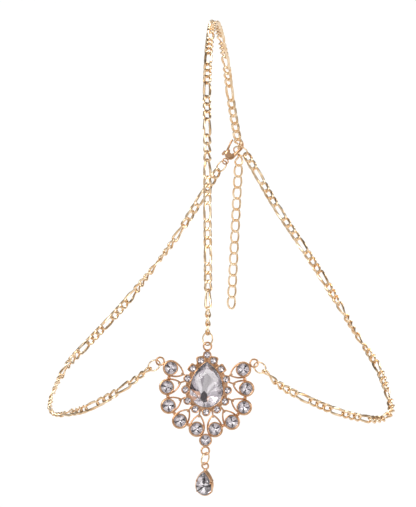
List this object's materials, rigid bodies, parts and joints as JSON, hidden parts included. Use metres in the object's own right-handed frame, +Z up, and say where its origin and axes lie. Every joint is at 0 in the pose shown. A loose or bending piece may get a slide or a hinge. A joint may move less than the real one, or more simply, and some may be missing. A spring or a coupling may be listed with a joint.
{
  "type": "hair chain",
  "caption": "Hair chain worn over the head: crystal pendant for the forehead with a pear drop, a chain over the crown, side chains, a clasp and an extender at the back.",
  "frame": {"origin": "where the centre chain rests on the crown of the head", "axes": "+Z up, the wearer faces -Y, +X is the viewer's right"},
  "size_m": [0.1393, 0.179, 0.1547],
  "materials": {
    "rose_gold": "polished",
    "pale_gold": "polished",
    "crystal": "faceted and polished"
  },
  "bodies": {
    "worn_chain": {"pendant_frame": "rose_gold", "top_ring": "rose_gold", "left_ring": "rose_gold", "right_ring": "rose_gold", "tail_ring": "rose_gold", "end_ring": "rose_gold", "clasp_body": "rose_gold", "centre_chain": "pale_gold", "left_chain": "pale_gold", "right_chain": "pale_gold", "extender_chain": "pale_gold", "centre_stone": "crystal", "base_stone": "crystal", "halo_stone_1": "crystal", "halo_stone_2": "crystal", "halo_stone_3": "crystal", "halo_stone_4": "crystal", "halo_stone_5": "crystal", "halo_stone_6": "crystal", "halo_stone_7": "crystal", "halo_stone_8": "crystal", "halo_stone_9": "crystal", "halo_stone_10": "crystal", "halo_stone_11": "crystal", "halo_stone_12": "crystal", "halo_stone_13": "crystal", "halo_stone_14": "crystal", "petal_stone_1": "crystal", "petal_stone_2": "crystal", "petal_stone_3": "crystal", "petal_stone_4": "crystal", "petal_stone_5": "crystal", "petal_stone_6": "crystal", "petal_stone_7": "crystal", "petal_stone_8": "crystal", "petal_stone_9": "crystal", "petal_stone_10": "crystal"},
    "drop_link": {"drop_ring": "rose_gold"},
    "drop": {"drop_setting": "rose_gold", "drop_stone": "crystal"},
    "lever": {"clasp_lever": "rose_gold"}
  },
  "joints": [
    {"name": "drop_link_swing", "type": "hinge", "parent": "worn_chain", "child": "drop_link", "pos_m": [0.002, -0.11078, -0.13583], "axis": [1, 0, 0], "range_deg": [-30, 30]},
    {"name": "drop_swing", "type": "hinge", "parent": "drop_link", "child": "drop", "pos_m": [0.002, -0.11078, -0.14005], "axis": [0.5736, 0.8192, 0], "range_deg": [-30, 30]},
    {"name": "lever_open", "type": "hinge", "parent": "worn_chain", "child": "lever", "pos_m": [0.00528, 0.0614, -0.07527], "axis": [0, 0.9272, -0.3746], "range_deg": [0, 20], "stiffness_Nm_per_rad": 0.00002, "springref_deg": -14.32}
  ]
}
